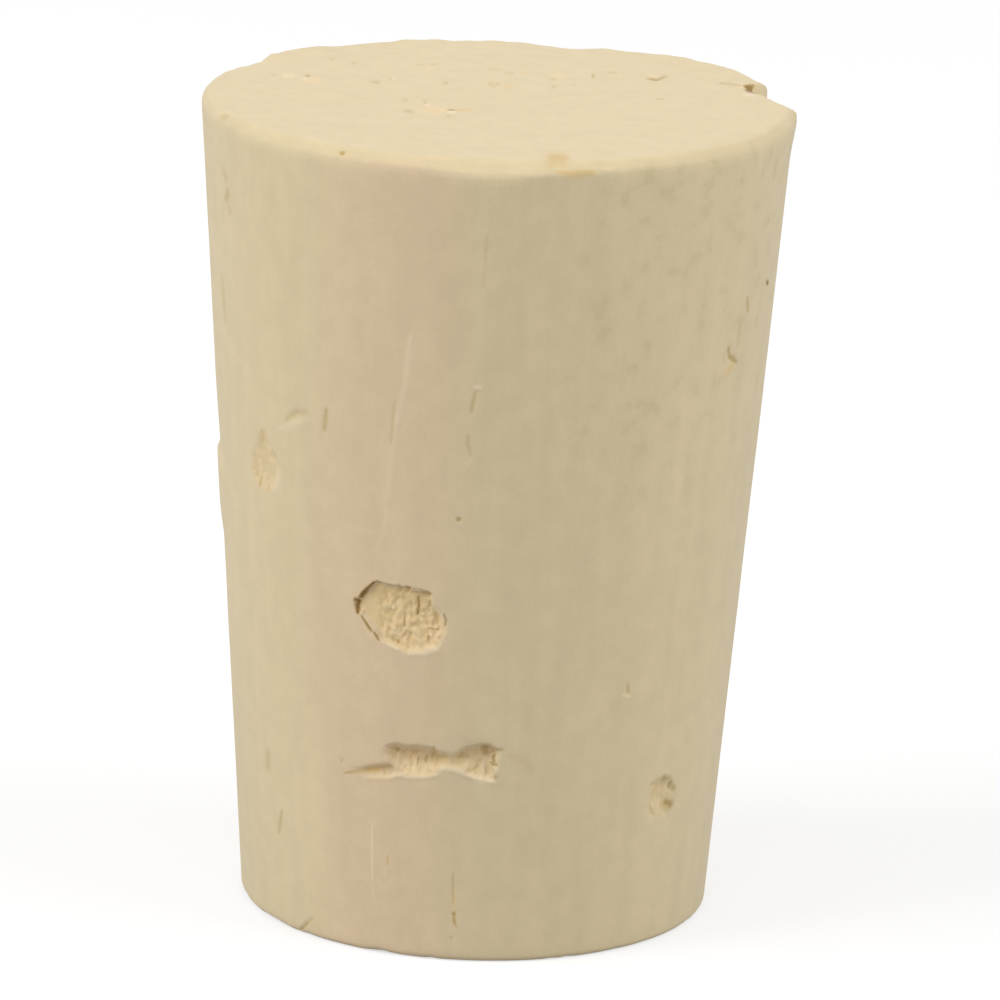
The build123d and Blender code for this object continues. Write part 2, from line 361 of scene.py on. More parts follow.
# Cracks and pores of the back
MARKS[163.0, 21.5] = [
    sunk_dark_mark(30, 90, (95, 105, 8), (130, 70, 15), (152, 35, 12)),
    sunk_dark_mark(12, 60, *dash(-60, 70, 10, 10)), sunk_dark_mark(12, 55, *dash(-15, 10, -40, 10)),
    sunk_dark_mark(10, 50, *dash(-105, 20, -20, 9)), lip(3, 70, (-130, -80, 14), (-30, -115, 22), (60, -90, 15)),
]
MARKS[-168.0, 11.0] = [
    sunk_dark_mark(10, 50, *dash(40, 40, 0, 10)), lip(3, 70, (-90, -50, 14), (0, -68, 20), (80, -55, 14)),
]
MARKS[150.0, 13.0] = [sunk_dark_mark(6, 40, (0, 140, 5), (-8, 20, 10), (-2, -130, 6))]
MARKS[-145.0, 17.5] = [lip(2.5, 35, (0, 220, 8), (-20, 30, 14), (-60, -240, 8))]
MARKS[-112.0, 20.5] = [sunk_dark_mark(8, 60, (0, 0, 14))]
MARKS[120.0, 27.2] = [sunk_dark_mark(7, 50, *dash(0, 40, -40, 10, slant=8))]
MARKS[178.0, 4.2] = [sunk_dark_mark(7, 50, (0, 90, 5), (5, 0, 10), (2, -80, 6))]

# Marks of the ends, as points (x, y, width)
LARGE_END_MARKS = [
    # Forked crack, and the split that leads to the chip
    sunk_dark_mark(5, 50, (612, 500, 10), (642, 475, 16), (660, 500, 10), (680, 550, 8)),
    lip(2, 40, (615, 550, 10), (640, 545, 12), powder=50), sunk_dark_mark(2, 22, (906, 454, 12), (984, 419, 14)),
    # These two dark strokes paint the shadow in the split's gap, on the chip's wall and on its floor
    sunk_dark_mark(3, 80, (1008, 426, 7), (1022, 430, 12), (1050, 438, 6)),
    sunk_dark_mark(4, 100, (1018, 335, 24), (1032, 320, 22), (1058, 280, 10)),
    lip(2, 60, (1005, 230, 14), (1035, 220, 14)),
    # Row with ochre powder, a pore and its bright lip
    dust(80, (-285, -245, 40), (-250, -260, 45), (-220, -240, 30)),
    sunk_dark_mark(3, 12, (-160, -236, 15), (-102, -225, 15), powder=100),
    sunk_dark_mark(5, 50, (-195, -240, 9), (-178, -238, 10)), lip(3, 100, (-195, -290, 12), (-175, -290, 12)),
    sunk_dark_mark(2, 20, (-202, -364, 10), (-190, -364, 10)), lip(3, 90, (-282, -170, 14)),
    sunk_dark_mark(2, 28, (-298, -70, 7), (-294, -140, 7)), sunk_dark_mark(3, 20, (-368, -285, 16), (-346, -295, 18)),
    sunk_dark_mark(2, 16, (-374, -85, 14)),
    # Row with reddish specks
    sunk_dark_mark(4, 26, (-34, 285, 17), powder=50), sunk_dark_mark(4, 26, (-6, 288, 17), powder=50),
    sunk_dark_mark(3, 20, (-21, 230, 18), powder=50), sunk_dark_mark(2, 10, (28, 255, 17), (48, 255, 17), powder=90),
    sunk_dark_mark(2, 20, (-217, 264, 17)), sunk_dark_mark(2, 20, (223, 270, 17), powder=40),
    sunk_dark_mark(2, 18, (223, 424, 18), powder=40), sunk_dark_mark(2, 20, (309, 310, 10)),
    sunk_dark_mark(3, 20, (-512, 250, 16), (-495, 245, 18)), sunk_dark_mark(2, 20, (-446, 320, 12), powder=60),
    lip(2, 70, (-432, 320, 12)), sunk_dark_mark(5, 45, (-782, 330, 16)), lip(3, 90, (-792, 250, 16)),
    dust(70, (-775, 230, 30), (-745, 240, 30)), sunk_dark_mark(2, 20, (-926, 330, 12)),
    lip(1, 50, (-875, 320, 22), (-845, 320, 22), powder=40),
    # Fainter row towards the back
    sunk_dark_mark(2, 12, (-340, 630, 12), (-315, 630, 12)), sunk_dark_mark(2, 12, (-285, 645, 12), (-260, 645, 12)),
    dust(50, (-310, 560, 25), (-280, 560, 25)), sunk_dark_mark(2, 14, (30, 520, 13), (55, 525, 13)),
    sunk_dark_mark(1, 8, (-35, 580, 12), (0, 580, 12)), sunk_dark_mark(1, 7, (85, 545, 15), (110, 540, 15), powder=50),
    dust(40, (230, 490, 40), (260, 490, 40)), sunk_dark_mark(3, 32, (384, 560, 8), (384, 490, 10)),
    sunk_dark_mark(2, 14, (455, 595, 10), (480, 598, 10)), sunk_dark_mark(2, 20, (638, 102, 8), (668, 100, 8)),
    sunk_dark_mark(2, 14, (-691, 680, 17)), sunk_dark_mark(2, 16, (-602, 610, 17)),
    # Orange spot by the worn flat
    sunk_dark_mark(2, 26, (225, -1075, 50), (255, -1065, 50), powder=100),
]
SMALL_END_MARKS = [
    sunk_dark_mark(12, 60, (-320, 140, 12), (-230, 170, 25), (-150, 150, 12)),
    sunk_dark_mark(10, 50, (240, -310, 10), (340, -330, 20), (400, -320, 10)),
    sunk_dark_mark(6, 35, (60, 520, 10), (150, 500, 16), (220, 510, 10)),
    sunk_dark_mark(6, 40, (460, 210, 25)), sunk_dark_mark(6, 40, (-540, -260, 25)), sunk_dark_mark(5, 30, (-80, -560, 20)),
]

RIM_NICKS = [
    Nick((-30.7, 0.08, 0.12), 0.17, 0.05, dark=0.42, powder=0.8),
    Nick((-66.5, 0.1, 0.05), 0.35, 0.03, dark=0.15),
    Nick((111.5, 1.0, 0.15), 0.7, 0.0, pale=0.45, powder=0.9),
]

# Shares of a nick's radius
NICK_RAGGEDNESS = 0.25
NICK_EDGE = 0.8  # in to its full depth

# Raised and worn stretches of the large rim: angles of the start, the full stretch and the end, and the rise
RIM_LUMPS = [
    (-125.2, -124.2, -119.0, -109.0, -0.11),
    (-146.0, -136.0, -126.5, -125.2, 0.13),
    (-171.0, -162.0, -160.0, -156.5, 0.09),
    (158.0, 165.0, 169.0, 178.0, -0.14),
    (117.0, 125.0, 138.0, 153.0, 0.16),
]
RIM_LUMP_REACH = 1.6
RIM_RAGGEDNESS = 0.05
SMALL_RIM_RAGGEDNESS = 0.1
SMALL_RIM_REACH = 0.8

# Wear of the large rim on both sides of the worn flat
RIM_WEAR_REACH = 0.42  # in along the top and down the flank
RIM_WEAR_ANGLE = 12.0
RIM_WEAR_HALF_ANGLE = 85.0
RIM_WEAR_FULL = 0.7  # share of the half angle with the full wear
RIM_WEAR_SOFTNESS = 0.2

# Slow waves and fine grain of the cut surface
WAVE_HEIGHT = 0.02
GRAIN_HEIGHT = 0.006

# Flare of the large rim at the right
FLARE_ANGLE = 88.0
FLARE_HALF_ANGLE = 24.0
FLARE_REACH = 2.0
FLARE_RISE = 0.12

# Blister on the left side
BLISTER_ANGLE = -90.0
BLISTER_HALF_ANGLE = 26.0
BLISTER_CORE = 0.3  # share of the half angle with the full rise
BLISTER_FROM = 14.9
BLISTER_FULL = 16.6
BLISTER_TO = 18.6
BLISTER_STEP = 0.25  # height of the step at its upper end
BLISTER_RISE = 0.1
BLISTER_ARCH = 0.0025  # fall of its upper end to the sides
HOLLOW_TO = 22.0  # shallow hollow above the blister
HOLLOW_DEPTH = 0.05

# Colours, as linear light
YELLOWISH_CORK = (0.714, 0.594, 0.376)
PINKISH_CORK = (0.73, 0.574, 0.376)
END_CORK = (0.7, 0.571, 0.35)
POWDER = (0.82, 0.61, 0.335)
OLIVE_POWDER = (0.73, 0.56, 0.295)
PALE_FIBRE_AND_PAINTED_HIGHLIGHT = (0.83, 0.68, 0.47)
# The dark tint colours cracks and in places paints shade and shadow; the pale tint colours fibre and in
# places paints highlights
DARK_OF_CRACKS_AND_PAINTED_SHADE = (0.19, 0.095, 0.02)
CRACK_AND_PAINTED_SHADE_TINGE = (1.0, 0.95, 0.68)  # what a faint dark tint leaves of the cork's colour, on cracks and on painted shade alike
SMUDGE = (0.945, 0.945, 0.905)  # what a smudge leaves of it

# Band of pinker growth, in millimetres from left to right
PINK_BAND_MIDDLE = -3.9
PINK_BAND_INSIDE = 1.2
PINK_BAND_OUTSIDE = 3.4
PINK_BAND_STRAY = 4.0  # how far its edges wander

# Where the smudges start and are full, in millimetres to the right and up
SMUDGES_ACROSS = (2.0, 5.0)
SMUDGES_UP = (18.0, 23.0)

# Camera, as fitted to the photograph
LENS = 263.556
SENSOR = 36.0
IMAGE_SIZE = 1000.0
CAMERA_DISTANCE = 0.3
CAMERA_ELEVATION = 15.09
CAMERA_ROLL = 1.894
STOPPER_MIDDLE_PIXEL = (485.52, 498.95)

# Light and floor
WORLD_STRENGTH = 0.57
SOFTBOXES = [  # name, place, size and power
    ("left_softbox", (-0.42, -0.15, 0.35), 0.35, 1.72),
    ("right_softbox", (0.42, -0.12, 0.33), 0.35, 1.2),
    ("front_softbox", (0.0, -0.5, 0.2), 0.4, 0.17),
]
FLOOR_HALF_WIDTH = 2.0
FLOOR_GREY = (0.42, 0.42, 0.42)
FLOOR_LIFT = (0.6, 0.6, 0.6)  # added where it is seen, so that it reads as white

UV_GAP = 1.0  # round each unrolled end


def smooth_step(low, high, value):
    """0 up to low, 1 from high, and a smooth rise between them."""
    share = np.clip((value - low) / (high - low), 0.0, 1.0)
    return share * share * (3.0 - 2.0 * share)


def outward(angle):
    """Unit vector away from the axis at an angle from the front."""
    return np.array([sin(radians(angle)), -cos(radians(angle)), 0.0])


def flank_radius(up):
    """Radius of the tapered flank at a height above the small end."""
    return SMALL_RADIUS + (LARGE_RADIUS - SMALL_RADIUS) * up / LENGTH


def flank_point(angle, up):
    """Point on the flank."""
    return outward(angle) * flank_radius(up) + UP * up


def large_rim_point(angle, inward=0.0, drop=0.0):
    """Point by the large end's corner, a distance in from it and a drop below it."""
    return outward(angle) * (LARGE_RADIUS - inward) + UP * (LENGTH - drop)


def add_object(name, data):
    """New object in the scene."""
    item = bpy.data.objects.new(name, data)
    bpy.context.scene.collection.objects.link(item)
    return item


def grain(points, seed, waves=1.0):
    """Smooth noise between about -1 and 1 at each point, with so many waves a millimetre."""
    return np.array([noise.noise(Vector(point)) for point in points * waves + seed])


# Turned body as a grid
def soft_corner(before, tip, after):
    """Points of a rounded corner, from one side of its tip to the other."""
    share = np.linspace(0.0, 1.0, RIM_STEPS + 1)[:, None]
    rest = 1 - share
    return rest**2 * before + 2 * share * rest * tip + share**2 * after


def turned_profile():
    """Radius and height of each row, from the small end to the large end."""
    flank_foot = (flank_radius(SMALL_RIM_SOFTNESS), SMALL_RIM_SOFTNESS)
    flank_head = (flank_radius(LENGTH - LARGE_RIM_SOFTNESS), LENGTH - LARGE_RIM_SOFTNESS)
    foot = soft_corner((SMALL_RADIUS - SMALL_RIM_SOFTNESS, 0.0), (SMALL_RADIUS, 0.0), flank_foot)
    head = soft_corner(flank_head, (LARGE_RADIUS, LENGTH), (LARGE_RADIUS - LARGE_RIM_SOFTNESS, LENGTH))
    rows = round((flank_head[1] - flank_foot[1]) / ROW_HEIGHT)
    flank = np.linspace(flank_foot, flank_head, rows + 1)[1:-1]
    return np.vstack([foot, flank, head])


def disc_place(across, along):
    """Share of the radius and turn from the back of a square grid's point on a disc."""
    if across == 0 and along == 0:
        return 0.0, 0.0
    if abs(across) >= abs(along):
        return abs(across), pi / 4 * along / across + pi * (across < 0)
    return abs(along), pi / 2 - pi / 4 * across / along + pi * (along < 0)


def end_grid(places, faces, ring_start, radius, up):
    """Fill one end with a square grid that joins the ring of points at its edge."""
    cells = COLUMNS // 4
    index = np.zeros((cells + 1, cells + 1), dtype=int)
    for row in range(cells + 1):
        for column in range(cells + 1):
            share, turn = disc_place(2 * row / cells - 1, 2 * column / cells - 1)
            if row in (0, cells) or column in (0, cells):
                index[row, column] = ring_start + round(turn / (2 * pi) * COLUMNS) % COLUMNS
            else:
                index[row, column] = len(places)
                places.append((-radius * share * sin(turn), radius * share * cos(turn), up))
    for row in range(cells):
        for column in range(cells):
            first, second = index[row : row + 2, column : column + 2]
            faces.append((first[0], second[0], second[1], first[1]))


def turned_body():
    """Mesh of the turned body in even cells, in millimetres."""
    profile = turned_profile()
    turns = np.arange(COLUMNS) * 2 * pi / COLUMNS
    places = [(-r * sin(turn), r * cos(turn), up) for r, up in profile for turn in turns]
    faces = []
    last_row = len(places) - COLUMNS
    for low in range(0, last_row, COLUMNS):
        high = low + COLUMNS
        for column in range(COLUMNS):
            across = (column + 1) % COLUMNS
            faces.append((low + column, low + across, high + across, high + column))
    end_grid(places, faces, 0, profile[0][0], 0.0)
    end_grid(places, faces, last_row, profile[-1][0], LENGTH)
    mesh = bpy.data.meshes.new("cork_body")
    mesh.from_pydata(places, [], faces)
    return mesh


def pit_places(pits, margin=0.0):
    """Middle and reach of each pit."""
    return [(*flank_point(pit.angle, pit.up), max(pit.width, pit.height) / 2 + margin) for pit in pits]


def stroke_points(strokes):
    """Points along strokes, close enough for their surroundings to overlap."""
    points = []
    for stroke in strokes:
        for start, end in zip(stroke.path, stroke.path[1:]):
            length = np.hypot(*(end - start)[:2])
            count = max(1, round(float(length) / REFINE_SPACING))
            points.extend(np.linspace(start, end, count + 1))
    return points


def busy_places():
    """Middle and reach of each place that needs a finer mesh."""
    busy = pit_places(PITS, REFINE_MARGIN)
    for (angle, up), strokes in MARKS.items():
        for u, v, width in stroke_points(strokes):
            aside = degrees(u / flank_radius(up))
            busy.append((*flank_point(angle + aside, up + v), width + REFINE_MARGIN))
    for level, strokes in ((LENGTH, LARGE_END_MARKS), (0.0, SMALL_END_MARKS)):
        for x, y, width in stroke_points(strokes):
            busy.append((x, y, level, END_STRETCH * width + REFINE_MARGIN))
    for nick in RIM_NICKS:
        busy.append((*large_rim_point(*nick.place), nick.radius + REFINE_MARGIN))
    for share in np.linspace(0.0, 1.0, CHIP_STEPS):
        on_split = large_rim_point(CHIP_BACK_ANGLE, CHIP_REACH * (1 - share), CHIP_DEPTH * share / 2)
        busy.append((*on_split, CHIP_MARGIN))
    return busy


def refine(shape, busy):
    """Cut the faces near the busy places into four."""
    middles = np.array([face.calc_center_median() for face in shape.faces])
    near = np.zeros(len(middles), dtype=bool)
    for *place, reach in busy:
        near |= np.linalg.norm(middles - place, axis=1) < reach
    edges = {edge for face, chosen in zip(shape.faces, near) if chosen for edge in face.edges}
    bmesh.ops.subdivide_edges(shape, edges=list(edges), cuts=1, use_grid_fill=True)


# Relief
def closed_curve(here, steps=8):
    """Smooth closed curve through points."""
    before = np.roll(here, 1, axis=0)
    after = np.roll(here, -1, axis=0)
    beyond = np.roll(here, -2, axis=0)
    share = np.linspace(0.0, 1.0, steps, endpoint=False)[:, None, None]
    curve = 0.5 * (
        2 * here
        + (after - before) * share
        + (2 * before - 5 * here + 4 * after - beyond) * share**2
        + (3 * here - before - 3 * after + beyond) * share**3
    )
    return curve.transpose(1, 0, 2).reshape(-1, 2)


def nearest_on_line(u, v, start, end):
    """Share along a line of its nearest point, and the way to that point."""
    run = end[:2] - start[:2]
    share = np.clip(((u - start[0]) * run[0] + (v - start[1]) * run[1]) / (run @ run), 0.0, 1.0)
    return share, start[0] + share * run[0] - u, start[1] + share * run[1] - v


def edge_distance(u, v, outline):
    """Distance in from a closed outline, negative outside it, and the way out to its nearest edge."""
    distance = np.full(len(u), np.inf)
    way = np.zeros((2, len(u)))
    inside = np.zeros(len(u), dtype=bool)
    for start, end in zip(outline, np.roll(outline, -1, axis=0)):
        _, to_u, to_v = nearest_on_line(u, v, start, end)
        length = np.hypot(to_u, to_v)
        closer = length < distance
        distance = np.where(closer, length, distance)
        way = np.where(closer, (to_u, to_v) / np.maximum(length, 1e-9), way)
        crosses = (start[1] > v) != (end[1] > v)
        rise = end[1] - start[1]
        crossing = start[0] + (v - start[1]) * (end[0] - start[0]) / (rise if rise else 1.0)
        inside ^= crosses & (u < crossing)
    return np.where(inside, distance, -distance), np.where(inside, way, -way)


def stroke_cover(u, v, path):
    """1 on the middle line of a stroke, falling to 0 at its width."""
    cover = np.zeros(len(u))
    for start, end in zip(path, path[1:]):
        share, to_u, to_v = nearest_on_line(u, v, start, end)
        width = start[2] + share * (end[2] - start[2])
        cover = np.maximum(cover, 1.0 - np.hypot(to_u, to_v) / width)
    return smooth_step(0.0, 1.0, cover)


class Surface:
    """Points of the turned body with how deep each is sunk and what it is tinted with."""

    def __init__(self, mesh):
        places = np.array([vertex.co for vertex in mesh.vertices])
        self.places = places
        self.normals = np.array([normal.vector for normal in mesh.vertex_normals])
        self.angles = np.degrees(np.arctan2(places[:, 0], -places[:, 1]))
        self.radii = np.hypot(places[:, 0], places[:, 1])
        self.on_flank = self.radii > flank_radius(places[:, 2]) - FLANK_MARGIN
        self.sink, self.powder, self.dark, self.pale = np.zeros((4, len(places)))

    def past(self, angle):
        """Degrees that each point lies past an angle, between -180 and 180."""
        return (self.angles - angle + 180.0) % 360.0 - 180.0

    def about(self, angle, up, reach):
        """Points of the flank within reach of a place, with their u and v."""
        u = np.radians(self.past(angle)) * flank_radius(up)
        v = self.places[:, 2] - up
        near = np.flatnonzero(self.on_flank & (np.abs(u) < reach) & (np.abs(v) < reach))
        return near, u[near], v[near]

    def tint(self, near, dark, pale, powder):
        """Tint points, where they aren't tinted more already."""
        for layer, amount in ((self.dark, dark), (self.pale, pale), (self.powder, powder)):
            layer[near] = np.maximum(layer[near], amount)

    def mark(self, near, cover, kind):
        """Sink or raise what a stroke or a nick covers, and tint it."""
        self.sink[near] += kind.sink * cover
        self.tint(near, kind.dark * cover, kind.pale * cover, kind.powder * cover)


def pit_crumbs(u, v, seed):
    """Relief of a pit's crumbly floor and the specks on it, which partly follow that relief, in grains
    taller than wide.
    """
    drift = 0.3 * grain(np.column_stack([u, v, 0 * u]), seed + 57.0, waves=1.3)
    coarse = np.column_stack([2.4 * u + drift, 1.8 * v - drift, 0.4 * u])
    fine = np.column_stack([5.2 * u + 2.0 * drift, 3.8 * v - 3.0 * drift, 0.9 * v])
    tiny = np.column_stack([9.0 * u + 3.0 * drift, 6.5 * v + 4.0 * drift, 1.3 * u])
    relief = 0.8 * grain(coarse, seed) + grain(fine, seed + 31.0)
    return relief, relief + 1.4 * grain(tiny, seed + 12.0)


def sink_pit(surface, pit, seed):
    """Scoop a lenticel out of the flank."""
    reach = max(pit.width, pit.height) / 2 + REFINE_MARGIN
    near, u, v = surface.about(pit.angle, pit.up, reach)
    side = -1.0 if pit.mirrored else 1.0
    outline = closed_curve(np.array(pit.outline) * (side * pit.width / 2, pit.height / 2))
    inward, way = edge_distance(u, v, outline)
    inward += PIT_RAGGEDNESS * grain(np.column_stack([u, v, 0 * u]), seed + 80.0, waves=2.4)
    towards = radians(pit.steep_way)
    facing = smooth_step(-WALL_TURN, WALL_TURN, way[0] * cos(towards) + way[1] * sin(towards))
    steep, gentle = pit.walls
    hollow = smooth_step(-PIT_LIP, gentle + (steep - gentle) * facing, inward)
    fall, specks_with_relief = pit_crumbs(u, v, seed)
    crumbly = smooth_step(*CRUMB_EDGE, inward)
    crumbly *= smooth_step(pit.crumbs_from, pit.crumbs_from + CRUMB_FADE, u)
    floor = pit.depth * (1.0 + pit.lean[0] * u / pit.width + pit.lean[1] * v / pit.height)
    surface.sink[near] = np.maximum(surface.sink[near], hollow * floor + pit.crumbs * crumbly * fall)
    shown = crumbly * min(1.0, pit.crumbs * CRUMB_CONTRAST)
    # Painted shade on the deeper crumbs and a painted highlight on the higher ones, mixed with random
    # specks; the powder is the floor's own colour
    surface.tint(
        near,
        dark=CRUMB_SPECKS_AND_PAINTED_SHADE * shown * smooth_step(*SPECK_RANGE, specks_with_relief),
        pale=CRUMB_SPECKS_AND_PAINTED_HIGHLIGHT * shown * smooth_step(*SPECK_RANGE, -specks_with_relief),
        powder=pit.powder * smooth_step(0.0, POWDER_EDGE, inward),
    )


def lump_rim(surface):
    """Raise and lower the large rim in stretches, make its edge ragged and flare it at the right."""
    up = surface.places[:, 2]
    near_top = smooth_step(LENGTH - RIM_LUMP_REACH, LENGTH, up)
    near_rim = smooth_step(LARGE_RADIUS - RIM_LUMP_REACH, LARGE_RADIUS, surface.radii) * near_top
    rise = np.zeros(len(up))
    for start, full_from, full_to, end, height in RIM_LUMPS:
        past = surface.past(start)
        swell = smooth_step(0.0, full_from - start, past)
        swell *= 1.0 - smooth_step(full_to - start, end - start, past)
        rise += height * swell
    rise += RIM_RAGGEDNESS * grain(surface.places, seed=61.0, waves=(1.3, 1.3, 0.0))
    flare = 1.0 - smooth_step(0.0, FLARE_HALF_ANGLE, np.abs(surface.past(FLARE_ANGLE)))
    flare *= smooth_step(LENGTH - FLARE_REACH, LENGTH, up) * surface.on_flank
    surface.sink -= FLARE_RISE * flare
    surface.places[:, 2] += rise * near_rim


def fray_small_rim(surface):
    """Lift the edge of the small rim here and there."""
    low = 1.0 - smooth_step(0.0, SMALL_RIM_REACH, surface.places[:, 2])
    past = surface.radii - SMALL_RADIUS
    near_rim = low * smooth_step(-SMALL_RIM_REACH, -SMALL_RIM_SOFTNESS, past)
    fray = grain(surface.places, seed=23.0, waves=(0.7, 0.7, 0.0))
    fray += 0.5 * grain(surface.places, seed=29.0, waves=(2.2, 2.2, 0.0))
    surface.places[:, 2] += SMALL_RIM_RAGGEDNESS * np.maximum(fray, 0.0) * near_rim


def raise_blister(surface):
    """Swell the left side a little, with a step at the upper end and a shallow hollow above it."""
    aside = np.abs(surface.past(BLISTER_ANGLE))
    up = surface.places[:, 2] + BLISTER_ARCH * aside**2
    below_step = 1.0 - smooth_step(BLISTER_TO, BLISTER_TO + BLISTER_STEP, up)
    swell = smooth_step(BLISTER_FROM, BLISTER_FULL, up) * below_step
    hollow = (1.0 - below_step) * (1.0 - smooth_step(BLISTER_TO, HOLLOW_TO, up))
    across = 1.0 - smooth_step(BLISTER_CORE, 1.0, aside / BLISTER_HALF_ANGLE)
    surface.sink += (HOLLOW_DEPTH * hollow - BLISTER_RISE * swell) * across * surface.on_flank


def worn_normal(way):
    """Normal of a surface worn into the large rim, which faces up and the way given."""
    slope = radians(WORN_FLAT_SLOPE)
    return way * sin(slope) + UP * cos(slope)


def cut_to_plane(places, origin, normal, softness, chosen=1.0):
    """Bring the chosen points that lie past a plane down to it, with a soft edge."""
    past = ((places - origin) * normal).sum(axis=1)
    bend = np.clip(past + softness, 0.0, 2 * softness) ** 2 / (4 * softness)
    soft = np.where(past > softness, past, bend)
    return places - (soft * chosen)[:, None] * normal


def soften_rim(surface):
    """Wear the large rim down on both sides of the worn flat."""
    ways = surface.places * (1.0, 1.0, 0.0) / np.maximum(surface.radii, 0.001)[:, None]
    origins = ways * (LARGE_RADIUS - RIM_WEAR_REACH) + UP * LENGTH
    aside = np.abs(surface.past(RIM_WEAR_ANGLE)) / RIM_WEAR_HALF_ANGLE
    worn = 1.0 - smooth_step(RIM_WEAR_FULL, 1.0, aside)
    return cut_to_plane(surface.places, origins, worn_normal(ways), RIM_WEAR_SOFTNESS, worn)


def wear_rim(places):
    """Cut the worn flat and the chip into the large rim."""
    flat_origin = large_rim_point(WORN_FLAT_ANGLE, inward=WORN_FLAT_REACH)
    places = cut_to_plane(places, flat_origin, worn_normal(outward(WORN_FLAT_ANGLE)), WORN_FLAT_SOFTNESS)
    root = large_rim_point(CHIP_BACK_ANGLE, inward=CHIP_REACH)
    mouth = large_rim_point(CHIP_BACK_ANGLE, drop=CHIP_DEPTH)
    front = large_rim_point(CHIP_FRONT_ANGLE)
    chip_normal = np.cross(front - root, mouth - root)
    chip_normal /= np.linalg.norm(chip_normal)
    behind = np.cross(chip_normal, mouth - root)
    behind /= np.linalg.norm(behind)
    in_front = 1.0 - smooth_step(-3 * CHIP_SOFTNESS, CHIP_SOFTNESS, (places - root) @ behind)
    near = places[:, 2] > LENGTH - CHIP_DEPTH - CHIP_MARGIN
    return cut_to_plane(places, root, chip_normal, CHIP_SOFTNESS, in_front * near)


def bite_rim(surface):
    """Take the small bites out of the large rim."""
    for nick in RIM_NICKS:
        share = np.linalg.norm(surface.places - large_rim_point(*nick.place), axis=1) / nick.radius
        near = np.flatnonzero(share < 1.0)
        ragged = NICK_RAGGEDNESS * grain(surface.places[near], seed=7.0, waves=4.0)
        surface.mark(near, smooth_step(0.0, NICK_EDGE, 1.0 - share[near] + ragged), nick)


def mark_end(surface, strokes, level, facing):
    """Draw the strokes of one end, drawn out from front to back."""
    level_with = np.abs(surface.places[:, 2] - level) < END_REACH
    near = np.flatnonzero(level_with & (surface.normals[:, 2] * facing > END_FACING))
    x, y = surface.places[near, :2].T
    for stroke in strokes:
        surface.mark(near, stroke_cover(x, y / END_STRETCH, stroke.path / (1.0, END_STRETCH, 1.0)), stroke)


def roughen(surface):
    """Give the cut surface its slow waves and fine upright grain."""
    surface.sink += WAVE_HEIGHT * grain(surface.places, seed=3.0, waves=(0.25, 0.25, 0.12))
    surface.sink += GRAIN_HEIGHT * grain(surface.places, seed=11.0, waves=(1.6, 1.6, 0.5))


def shape_surface(surface):
    """Work all the relief into the turned body and return the finished places."""
    roughen(surface)
    raise_blister(surface)
    for number, pit in enumerate(PITS):
        sink_pit(surface, pit, seed=5.3 * number)
    for (angle, up), strokes in MARKS.items():
        reach = max(np.abs(stroke.path[:, :2]).max() for stroke in strokes) + MARK_MARGIN
        near, u, v = surface.about(angle, up, reach)
        for stroke in strokes:
            surface.mark(near, stroke_cover(u, v, stroke.path), stroke)
    mark_end(surface, LARGE_END_MARKS, LENGTH, 1.0)
    mark_end(surface, SMALL_END_MARKS, 0.0, -1.0)
    bite_rim(surface)
    lump_rim(surface)
    fray_small_rim(surface)
    surface.places = wear_rim(soften_rim(surface))
    finished = surface.places - surface.normals * surface.sink[:, None]
    finished[:, 2] = np.maximum(finished[:, 2], 0.0)  # nothing reaches below the floor
    return finished


def unwrap(mesh, surface):
    """Unroll the flank with its seam at the back, and set the two ends side by side above it."""
    width = 2 * pi * LARGE_RADIUS
    places = surface.places / width
    layer = mesh.uv_layers.new(name="OFBake")
    end_middle = (LARGE_RADIUS + UV_GAP) / width
    end_row = LENGTH / width + end_middle
    for face in mesh.polygons:
        corners = list(face.vertices)
        facing = surface.normals[corners, 2].mean()
        if abs(facing) > END_FACING:
            column = end_middle if facing > 0 else 3 * end_middle
            spread = places[corners, :2] + (column, end_row)
        else:
            turns = surface.angles[corners]
            if turns.max() - turns.min() > 180.0:
                turns = np.where(turns < 0.0, turns + 360.0, turns)
            spread = np.column_stack([(turns + 180.0) / 360.0, places[corners, 2]])
        for loop, place in zip(face.loop_indices, spread):
            layer.data[loop].uv = place


def make_cork():
    """The stopper as one dense mesh with its relief and tints."""
    mesh = turned_body()
    shape = bmesh.new()
    shape.from_mesh(mesh)
    bmesh.ops.recalc_face_normals(shape, faces=shape.faces)
    busy = busy_places()
    crumbly = [pit for pit in PITS if pit.crumbs > FINEST_CRUMBS]
    for places in (busy, busy, pit_places(crumbly)):
        refine(shape, places)
    shape.to_mesh(mesh)
    shape.free()
    surface = Surface(mesh)
    unwrap(mesh, surface)
    finished = shape_surface(surface)
    mesh.vertices.foreach_set("co", (finished * MILLIMETRE).ravel())
    tint = mesh.attributes.new("tint", "FLOAT_COLOR", "POINT")
    layers = [surface.powder, surface.dark, surface.pale, np.ones(len(finished))]
    tint.data.foreach_set("color", np.column_stack(layers).ravel())
    mesh.shade_smooth()
    mesh.update()
    return add_object("cork_body", mesh)


